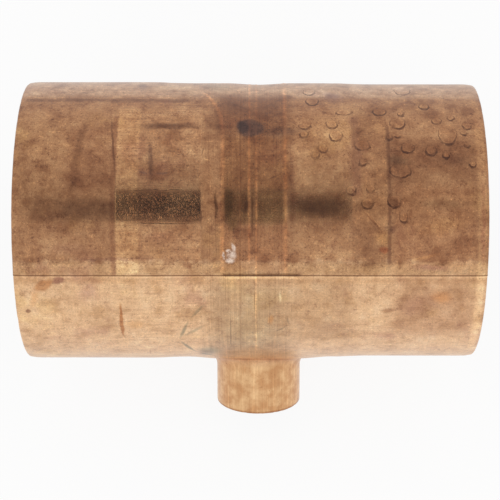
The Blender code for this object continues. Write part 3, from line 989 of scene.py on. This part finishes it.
def wallCoordinates(tree):
    # Object coordinates in the fitting's own frame, in millimetres.
    spot = addNode(tree, "ShaderNodeTexCoord").outputs["Object"]
    turned = addNode(tree, "ShaderNodeMapping", {"Vector": spot}, vector_type="POINT")
    turned.inputs["Location"].default_value = toFitting.translation / mm
    turned.inputs["Rotation"].default_value = (-tilt, 0, 0)
    turned.inputs["Scale"].default_value = (1 / mm, 1 / mm, 1 / mm)
    return turned.outputs[0]


def mixColour(tree, share, first, second, blend="MIX"):
    first, second = ((*colour, 1) if isinstance(colour, tuple) else colour for colour in (first, second))
    sockets = {0: share, 6: first, 7: second}
    return addNode(tree, "ShaderNodeMix", sockets, data_type="RGBA", blend_type=blend).outputs[2]


def mixValue(tree, share, first, second):
    return addNode(tree, "ShaderNodeMix", {0: share, 2: first, 3: second}, data_type="FLOAT").outputs[0]


def lay(tree, paint, mask, tint=None, rough=None, height=0.0):
    # One mark on the paint so far: its tint, the roughness it takes the metal to, and its height.
    if tint:
        paint["colour"] = mixColour(tree, mask, paint["colour"], tint, "MULTIPLY")
    if rough is not None:
        paint["rough"] = mixValue(tree, mask, paint["rough"], rough)
    if height:
        paint["height"] = calc(tree, "MULTIPLY_ADD", mask, height, paint["height"])


def noises(tree, spot):
    # Every noise that the paint needs, worked out before the first mark is laid.
    made = {}
    for name, (scale, detail, roughness) in noiseLooks.items():
        squeezed = isinstance(scale, tuple)
        place = vector(tree, "MULTIPLY", spot, scale) if squeezed else spot
        output = "Color" if name in ("loose", "close") else "Fac"
        made[name] = noise(tree, place, 1.0 if squeezed else scale, detail, roughness, output)
    return made


def strayed(tree, flat, stray, reach):
    # The sheet's two coordinates, led astray by noise.
    moved = vector(tree, "MULTIPLY_ADD", stray, (reach, reach, 0), (-reach / 2, -reach / 2, 0))
    outputs = addNode(tree, "ShaderNodeSeparateXYZ", {0: vector(tree, "ADD", flat, moved)}).outputs
    return outputs["X"], outputs["Y"]


def shareNodes(tree, given):
    # The squared distance from a patch's centre, 1 on the border of its ellipse, and the way down it.
    shares = []
    for axis in ("Across", "Down"):
        partial = calc(tree, "MULTIPLY_ADD", given["Arc"], given[f"{axis} Arc"], given[f"{axis} Start"])
        shares.append(calc(tree, "MULTIPLY_ADD", given["Along"], given[f"{axis} Along"], partial))
    across, down = shares
    return calc(tree, "MULTIPLY_ADD", across, across, times(tree, down, down)), down


patchSockets = ["Along", "Arc"]
patchSockets += [f"{axis} {part}" for axis in ("Across", "Down") for part in ("Along", "Arc", "Start")]


def patchGroup():
    # 1 in the middle of a patch, easing to 0 between its soft edge and its border.
    tree = newTree("markPatch", "ShaderNodeTree", patchSockets + ["Soft From"], ["Mask"])
    given = tree.nodes.new("NodeGroupInput").outputs
    square = shareNodes(tree, given)[0]
    mask = ease(tree, calc(tree, "SQRT", square), 1.0, given["Soft From"])
    addNode(tree, "NodeGroupOutput", {"Mask": mask})
    return tree


def dropGroup():
    # Joins one drop to those so far, as the distance from the nearest outline and the depth inside.
    labels = ["Nearest", "Deepest"]
    tree = newTree("driedDrop", "ShaderNodeTree", patchSockets + ["Size"] + labels, labels)
    given = tree.nodes.new("NodeGroupInput").outputs
    square, below = shareNodes(tree, given)
    depth = times(tree, minus(tree, calc(tree, "SQRT", square), 1.0), given["Size"])
    # The outline is heavier below: painted shade.
    gap = calc(tree, "MULTIPLY_ADD", below, -dropLook["shadeBelow"], off(tree, depth))
    found = {name: calc(tree, "MINIMUM", value, given[name]) for name, value in zip(labels, (gap, depth))}
    addNode(tree, "NodeGroupOutput", found)
    return tree


def placedGroup(tree, group, sheet, centre, half, lean, others):
    values = {"Along": sheet[0], "Arc": sheet[1], **others}
    axes = {"Across": (math.cos(lean), math.sin(lean)), "Down": (-math.sin(lean), math.cos(lean))}
    for (name, axis), size in zip(axes.items(), half):
        values[f"{name} Along"], values[f"{name} Arc"] = axis[0] / size, axis[1] / size
        values[f"{name} Start"] = -(centre[0] * axis[0] + centre[1] * axis[1]) / size
    return placedNode(tree, "ShaderNodeGroup", group, values)


def sheetPatch(at, half):
    # A patch given in the photograph's pixels, as its centre and half size on the sheet.
    left, right = (onWall(at[0] + side * half[0], at[1])[0] for side in (-1, 1))
    top, bottom = (onWall(at[0], at[1] + side * half[1])[1] for side in (-1, 1))
    return ((left + right) / 2, (top + bottom) / 2), ((right - left) / 2, (bottom - top) / 2)


def strokeMask(tree, group, sheet, start, end, width):
    first, last = onWall(*start), onWall(*end)
    middle = ((first[0] + last[0]) / 2, (first[1] + last[1]) / 2)
    lean = math.atan2(last[1] - first[1], last[0] - first[0])
    pixel = onWall(start[0] + 1, start[1])[0] - onWall(*start)[0]
    half = (math.dist(first, last) * strokeLook["longer"], width * pixel * strokeLook["wider"])
    return placedGroup(tree, group, sheet, middle, half, lean, {"Soft From": 1.0 - strokeLook["soft"]})[0]


def layDrops(tree, paint, given, sheet):
    # All dried drops together: the dark outline, with painted shade making it heavier below, the painted
    # highlight line in it, and the inside.
    group = dropGroup()
    state = {"Nearest": farOff, "Deepest": farOff}
    for centre, half in [sheetPatch(*drop) for drop in drops] + backDrops:
        others = {**state, "Size": (half[0] + half[1]) / 2}
        outputs = placedGroup(tree, group, sheet, centre, half, 0.0, others)
        state = {name: outputs[name] for name in state}
    look = dropLook
    depth = state["Deepest"]
    outline = ease(tree, state["Nearest"], *look["outline"])
    # The light line is a painted highlight.
    dropHighlight = ease(tree, off(tree, depth, -look["dropHighlightIn"]), *look["dropHighlight"])
    inside = ease(tree, depth, 0.0, -look["dropHighlightIn"])
    broken = ease(tree, given["patch"], *look["broken"])
    lay(tree, paint, inside, look["insideTint"])
    light, dark = (times(tree, mask, broken) for mask in (dropHighlight, outline))
    lay(tree, paint, light, look["dropHighlightTint"], height=look["dropHighlightHeight"])
    lay(tree, paint, dark, look["outlineTint"], look["outlineRough"], look["outlineHeight"])


def layGround(tree, given, fromLine):
    # The two tones of the halves, partly their own patina and partly painted shade on the back half, with
    # blotches and clouds of oxide.
    halves = []
    for half in ("back", "front"):
        tone = ground[half]
        for shade in ("Dark", "Light"):
            colour, low, high = ground[half + shade]
            mask = ease(tree, given["blotch"], low, high)
            tone = mixColour(tree, mask, tone, colour)
        halves.append(tone)
    start = onWall(dieLine["at"][0], ground["frontFrom"])[1] - dieLine["arc"]
    ragged = calc(tree, "MULTIPLY_ADD", minus(tree, given["blotch"], 0.5), ground["ragged"], fromLine)
    border = ease(tree, ragged, start - ground["borderSoft"], start + ground["borderSoft"])
    paint = {"colour": mixColour(tree, border, *halves), "rough": ground["rough"], "height": 0.0}
    for cloud in ("darkCloud", "lightCloud"):
        tint, low, high = ground[cloud]
        lay(tree, paint, ease(tree, given["cloud"], low, high), tint)
    return paint


def layPolish(tree, paint, along, fromLine, eitherSide):
    # The gloss of each forming zone, which fades towards the top and on the outlet's half.
    for column, rough in polish.values():
        edge = onWall(column, dieLine["at"][1])[0]
        past = ease(tree, along, edge - polishEdge, edge + polishEdge)
        paint["rough"] = mixValue(tree, past, paint["rough"], rough)
    top, bottom = (onWall(dieLine["at"][0], row)[1] for row in dull["rows"])
    nearLine = ease(tree, fromLine, *dull["fromLine"])
    matt = calc(tree, "MAXIMUM", nearLine, ease(tree, eitherSide, bottom, top))
    paint["rough"] = mixValue(tree, matt, paint["rough"], dull["rough"])


def layZones(tree, paint, close, loose, mirrored):
    for columns, rows, soft, tint, *side in zones.values():
        left, right = (onWall(column, sum(rows) / 2)[0] for column in columns)
        top, bottom = (onWall(columns[0], row)[1] for row in rows)
        along = close[0] if soft < 1 else loose[0]
        # The "front" zones are painted reflection of the tent's dark gap, so they keep to the camera's
        # side.
        arc = loose[1] if side else mirrored
        share = times(tree, between(tree, along, left, right, soft),
                      between(tree, arc, top, bottom, max(soft, leastArcSoft)))
        lay(tree, paint, share, tint)


def layFlecks(tree, paint, given, along, arc, fromLine):
    # Small patches, cracks in the oxide, flecks, pinholes, and faint brushing both ways. The outlet's
    # half is calmer.
    calm = ease(tree, fromLine, *surface["calmOver"], 1.0, surface["frontCalm"])

    def mark(name, weight=calm, height=0.0):
        kind, low, high, tint = texture[name]
        lay(tree, paint, times(tree, ease(tree, given[kind], low, high), weight), tint, height=height)

    mark("darkPatch")
    mark("lightPatch")
    for level, width, tint, held in cracks.values():
        gap = off(tree, given["crack"], level)
        weight = times(tree, calm, ease(tree, given["patch"], *held))
        lay(tree, paint, times(tree, ease(tree, gap, width, crackCore), weight), tint)
    mark("pit", height=-surface["pitDepth"])
    mark("bareFleck")
    look = polishedPatch
    left, right = (onWall(column, look["at"][1])[0] for column in look["columns"])
    top, bottom = (onWall(look["at"][0], row)[1] for row in look["rows"])
    softAlong, softArc = look["soft"]
    rubbed = times(tree, between(tree, along, left, right, softAlong),
                   between(tree, arc, top, bottom, softArc))
    rubbed = times(tree, rubbed, ease(tree, given["scratch"], *look["scratches"]))
    lay(tree, paint, rubbed, look["tint"], look["rough"])
    grain = mixColour(tree, given["grain"], *[(shade,) * 3 for shade in surface["grainShades"]])
    lay(tree, paint, calm, grain)
    lay(tree, paint, given["grain"], height=surface["grainHeight"])
    for way, (columns, row, soft, more, always) in brushing.items():
        left, right = (onWall(column, row)[0] for column in columns)
        weight = calc(tree, "MULTIPLY_ADD", between(tree, along, left, right, soft), more, always)
        mark(f"light{way}", weight)
        mark(f"dark{way}", weight, -surface["brushHeight"])


def layRidges(tree, paint, given, along, arc):
    # Ridges are rubbed bright and grooves hold dirt.
    look = ridgeLook
    for ridge in ridges.values():
        bend, bendFrom = ridge.get("bend", (0.0, 0.0))
        past = calc(tree, "MAXIMUM", minus(tree, bendFrom, arc), 0.0)
        gap = off(tree, plus(tree, along, times(tree, past, past, bend)), ridge["along"])
        inRows = between(tree, arc, *ridge["arcs"], look["endSoft"])
        mask = times(tree, ease(tree, gap, ridge["width"] * look["spread"], look["core"]), inRows)
        mask = times(tree, mask, ease(tree, given["patch"], *look["rubbed"]))
        lay(tree, paint, mask, ridge["tint"], look["rough"])


def layDieLines(tree, paint, along, fromLine):
    look = dieLineLook
    thin = ease(tree, off(tree, fromLine, look["crackPlace"]), *look["crack"])
    lay(tree, paint, thin, look["crackTint"], look["crackRough"])
    lay(tree, paint, between(tree, fromLine, *look["edge"]), look["edgeTint"])
    left, right = (onWall(column, dieLine["at"][1])[0] for column in dieLine["thickColumns"])
    thick = between(tree, along, left, right, look["thickSoft"])
    for name, height in (("shade", 0.0), ("flash", look["flashHeight"])):
        mask = times(tree, thick, between(tree, fromLine, *look[name]))
        lay(tree, paint, mask, look[f"{name}Tint"], height=height)


def layOutlet(tree, paint, given, parts, fromOutlet):
    # The outlet's own colour and its drawing lines, and painted shade in the crotch round its foot.
    look = outletLook
    foot = run["bodyRadius"] / mm * look["foot"]
    down = times(tree, parts["Z"], -1.0)
    onOutlet = times(tree, ease(tree, down, *[foot + above for above in look["above"]]),
                     ease(tree, fromOutlet, *look["within"]))
    tone = ease(tree, given["outletBlotch"], *look["blotches"])
    tone = mixColour(tree, tone, look["dark"], look["light"])
    paint["colour"] = mixColour(tree, onOutlet, paint["colour"], tone)
    lay(tree, paint, onOutlet, None, look["rough"])
    # Painted shade in the crotch round the outlet's foot.
    crotch = between(tree, fromOutlet, *look["crotch"])
    crotch = times(tree, crotch, ease(tree, down, *look["crotchLevel"]))
    lay(tree, paint, crotch, look["crotchTint"])
    for levels, tint, height in look["lines"]:
        mask = times(tree, onOutlet, ease(tree, given["alongOutlet"], *levels))
        lay(tree, paint, mask, tint, height=height)
    specks = ease(tree, given["fleck"], *look["specks"])
    lay(tree, paint, times(tree, onOutlet, specks), look["speckTint"])
    edge = ease(tree, down, *[outlet["reach"] / mm + past for past in look["edge"]])
    lay(tree, paint, times(tree, edge, onOutlet), look["edgeTint"])


def layInside(tree, paint, given, parts):
    # Bores hold darker oxide, with rings at the stops, and the cut faces are bare metal with saw lines.
    look = insideLook
    skin = addNode(tree, "ShaderNodeAttribute", attribute_name="skin").outputs["Fac"]
    within = ease(tree, skin, 0.6, 0.4)
    tone = mixColour(tree, ease(tree, given["film"], *look["film"]), look["dark"], look["light"])
    tone = mixColour(tree, ease(tree, given["boreStain"], *look["stains"]), tone, look["stain"])
    paint["colour"] = mixColour(tree, within, paint["colour"], tone)
    lay(tree, paint, within, None, look["rough"])
    length = off(tree, parts["X"])
    for side, reach in ((-1.0, run["leftReach"]), (1.0, run["rightReach"])):
        stop = (reach - run["cupDepth"]) / mm
        towards = times(tree, parts["X"], side)
        ring = between(tree, towards, stop - run["shoulder"] / mm, stop + look["pastStop"],
                       look["stopSoft"])
        lay(tree, paint, times(tree, within, ring), look["stopTint"])
    faces = 0.0
    ends = (("X", 1, run["rightReach"]), ("X", -1, run["leftReach"]), ("Z", -1, outlet["reach"]))
    for axis, side, reach in ends:
        face = ease(tree, parts[axis], *[side * (reach / mm - near) for near in look["face"]])
        faces = calc(tree, "MAXIMUM", face, faces)
    bright = ease(tree, given["sawn"], *look["sawLines"])
    bright = mixColour(tree, bright, look["faceDark"], look["faceLight"])
    paint["colour"] = mixColour(tree, faces, paint["colour"], bright)
    lay(tree, paint, faces, None, look["faceRough"])
    lay(tree, paint, times(tree, within, ease(tree, length, *look["mouth"])), look["mouthTint"])


def copperMaterial():
    material = bpy.data.materials.new("agedCopper")
    material.use_nodes = True
    tree = material.node_tree
    spot = wallCoordinates(tree)
    parts = addNode(tree, "ShaderNodeSeparateXYZ", {0: spot}).outputs
    turn = calc(tree, "ARCTAN2", times(tree, parts["Y"], -1.0), parts["Z"])
    arc = times(tree, turn, run["cupRadius"] / mm)
    eitherSide = off(tree, arc)   # the far side was formed in the same way
    fromLine = minus(tree, eitherSide, dieLine["arc"])
    squares = {name: times(tree, parts[name], parts[name]) for name in ("X", "Y")}
    fromOutlet = calc(tree, "SQRT", plus(tree, squares["X"], squares["Y"]))
    given = noises(tree, spot)
    flat = addNode(tree, "ShaderNodeCombineXYZ", {"X": parts["X"], "Y": arc}).outputs[0]
    loose = strayed(tree, flat, given["loose"], surface["wander"])
    close = strayed(tree, flat, given["close"], surface["smallWander"])
    uneven = strayed(tree, flat, given["close"], surface["dropWander"])
    mirrored = off(tree, loose[1])

    paint = layGround(tree, given, fromLine)
    layPolish(tree, paint, close[0], fromLine, mirrored)
    layZones(tree, paint, close, loose, mirrored)
    patches = patchGroup()
    for at, half, lean, soft, tint in stains.values():
        centre, size = sheetPatch(at, half)
        others = {"Soft From": 1.0 - soft}
        mask = placedGroup(tree, patches, loose, centre, size, math.radians(lean), others)[0]
        lay(tree, paint, mask, tint)
    layRidges(tree, paint, given, close[0], eitherSide)
    layDieLines(tree, paint, parts["X"], fromLine)
    for start, end, width, tint in strokes.values():
        mask = strokeMask(tree, patches, close, start, end, width)
        lay(tree, paint, mask, tint, height=math.copysign(strokeLook["height"], tint[0] - 1))
    white = 0.0
    for start, end, width in residue:
        white = calc(tree, "MAXIMUM", strokeMask(tree, patches, uneven, start, end, width), white)
    white = times(tree, white, ease(tree, given["patch"], *residueLook["broken"]))
    share = times(tree, white, residueLook["share"])
    paint["colour"] = mixColour(tree, share, paint["colour"], residueLook["colour"])
    lay(tree, paint, white, height=residueLook["height"])
    layDrops(tree, paint, given, uneven)
    layFlecks(tree, paint, given, close[0], loose[1], fromLine)
    layOutlet(tree, paint, given, parts, fromOutlet)
    layInside(tree, paint, given, parts)

    fleck = minus(tree, given["fleck"], 0.5)
    speckled = calc(tree, "MULTIPLY_ADD", fleck, surface["speckledRough"], paint["rough"])
    shader = tree.nodes["Principled BSDF"]
    plug(tree, paint["colour"], shader.inputs["Base Color"])
    plug(tree, calc(tree, "MAXIMUM", speckled, surface["leastRough"]), shader.inputs["Roughness"])
    bump = addNode(tree, "ShaderNodeBump", {"Height": paint["height"], "Strength": 1.0, "Distance": mm})
    plug(tree, bump.outputs[0], shader.inputs["Normal"])
    shader.inputs["Metallic"].default_value = 1.0
    shader.inputs["Coat Weight"].default_value = surface["coat"]
    shader.inputs["Coat Roughness"].default_value = surface["coatRough"]
    return material


wall = buildWall(copperMaterial())
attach(wall, "root")
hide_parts("reducing_tee")


# Light: an even tent, with the dark gap that the camera looks through. Angles are from the camera's
# side towards the back, in degrees.
tent = {
    "levels": [(-180, 1.0), (-60, 1.0), (-8, 0.95), (-2, 0.90), (2, 0.05), (20, 0.05), (25, 0.62),
               (45, 0.82), (66, 1.0), (180, 1.0)],
    "gapLean": (7.0, 10.0),   # how far the gap reaches along the run before it closes
    "beside": 0.9,            # the level past that
    "background": 1.0,
}


def lightTent():
    world = bpy.data.worlds.new("lightTent")
    bpy.context.scene.world = world
    world.use_nodes = True
    tree = world.node_tree
    shader = tree.nodes["Background"]
    towards = addNode(tree, "ShaderNodeTexCoord").outputs["Generated"]
    parts = addNode(tree, "ShaderNodeSeparateXYZ", {0: towards}).outputs
    angle = calc(tree, "DEGREES", calc(tree, "ARCTAN2", parts["Y"], parts["Z"]))
    angle = plus(tree, angle, 90 - camera["rise"])
    ramp = addNode(tree, "ShaderNodeValToRGB", {0: calc(tree, "MULTIPLY_ADD", angle, 1 / 360, 0.5)})
    stops = ramp.color_ramp.elements
    levels = tent["levels"]
    stops[0].position, stops[1].position = (levels[end][0] / 360 + 0.5 for end in (0, -1))
    for place, level in levels[1:-1]:
        stops.new(place / 360 + 0.5)
    for stop, (place, level) in zip(stops, levels):
        stop.color = (level, level, level, 1)
    level = addNode(tree, "ShaderNodeSeparateColor", {0: ramp.outputs[0]}).outputs[0]
    lean = off(tree, calc(tree, "DEGREES", calc(tree, "ARCSINE", parts["X"])))
    level = mixValue(tree, ease(tree, lean, *tent["gapLean"]), level, tent["beside"])
    isCamera = addNode(tree, "ShaderNodeLightPath").outputs["Is Camera Ray"]
    plug(tree, mixValue(tree, isCamera, level, tent["background"]), shader.inputs["Strength"])
    shader.inputs["Color"].default_value = (1, 1, 1, 1)


floorLook = {
    "size": 3.0,
    "colour": (0.94, 0.94, 0.94, 1),
    "glow": 1.0,
    "glowShare": 0.9,   # the rest shows the object's shadow
}


def floorMaterial():
    material = bpy.data.materials.new("paleFloor")
    material.use_nodes = True
    tree = material.node_tree
    tree.nodes.remove(tree.nodes["Principled BSDF"])
    matt = addNode(tree, "ShaderNodeBsdfDiffuse", {"Color": floorLook["colour"]}).outputs[0]
    glow = addNode(tree, "ShaderNodeEmission", {"Strength": floorLook["glow"]}).outputs[0]
    path = addNode(tree, "ShaderNodeLightPath").outputs
    seen = calc(tree, "MAXIMUM", path["Is Camera Ray"], path["Is Glossy Ray"])
    seen = calc(tree, "MAXIMUM", seen, path["Is Transmission Ray"])
    share = times(tree, seen, floorLook["glowShare"])
    mix = addNode(tree, "ShaderNodeMixShader", {0: share, 1: matt, 2: glow}).outputs[0]
    plug(tree, mix, tree.nodes["Material Output"].inputs["Surface"])
    return material


def addFloor():
    shape = bmesh.new()
    bmesh.ops.create_grid(shape, x_segments=1, y_segments=1, size=floorLook["size"] / 2)
    data = bpy.data.meshes.new("floor")
    shape.to_mesh(data)
    shape.free()
    data.materials.append(floorMaterial())
    item = bpy.data.objects.new("floor", data)
    bpy.context.scene.collection.objects.link(item)


lightTent()
addFloor()
print("light and floor set")

bpy.context.scene.view_settings.view_transform = "Standard"
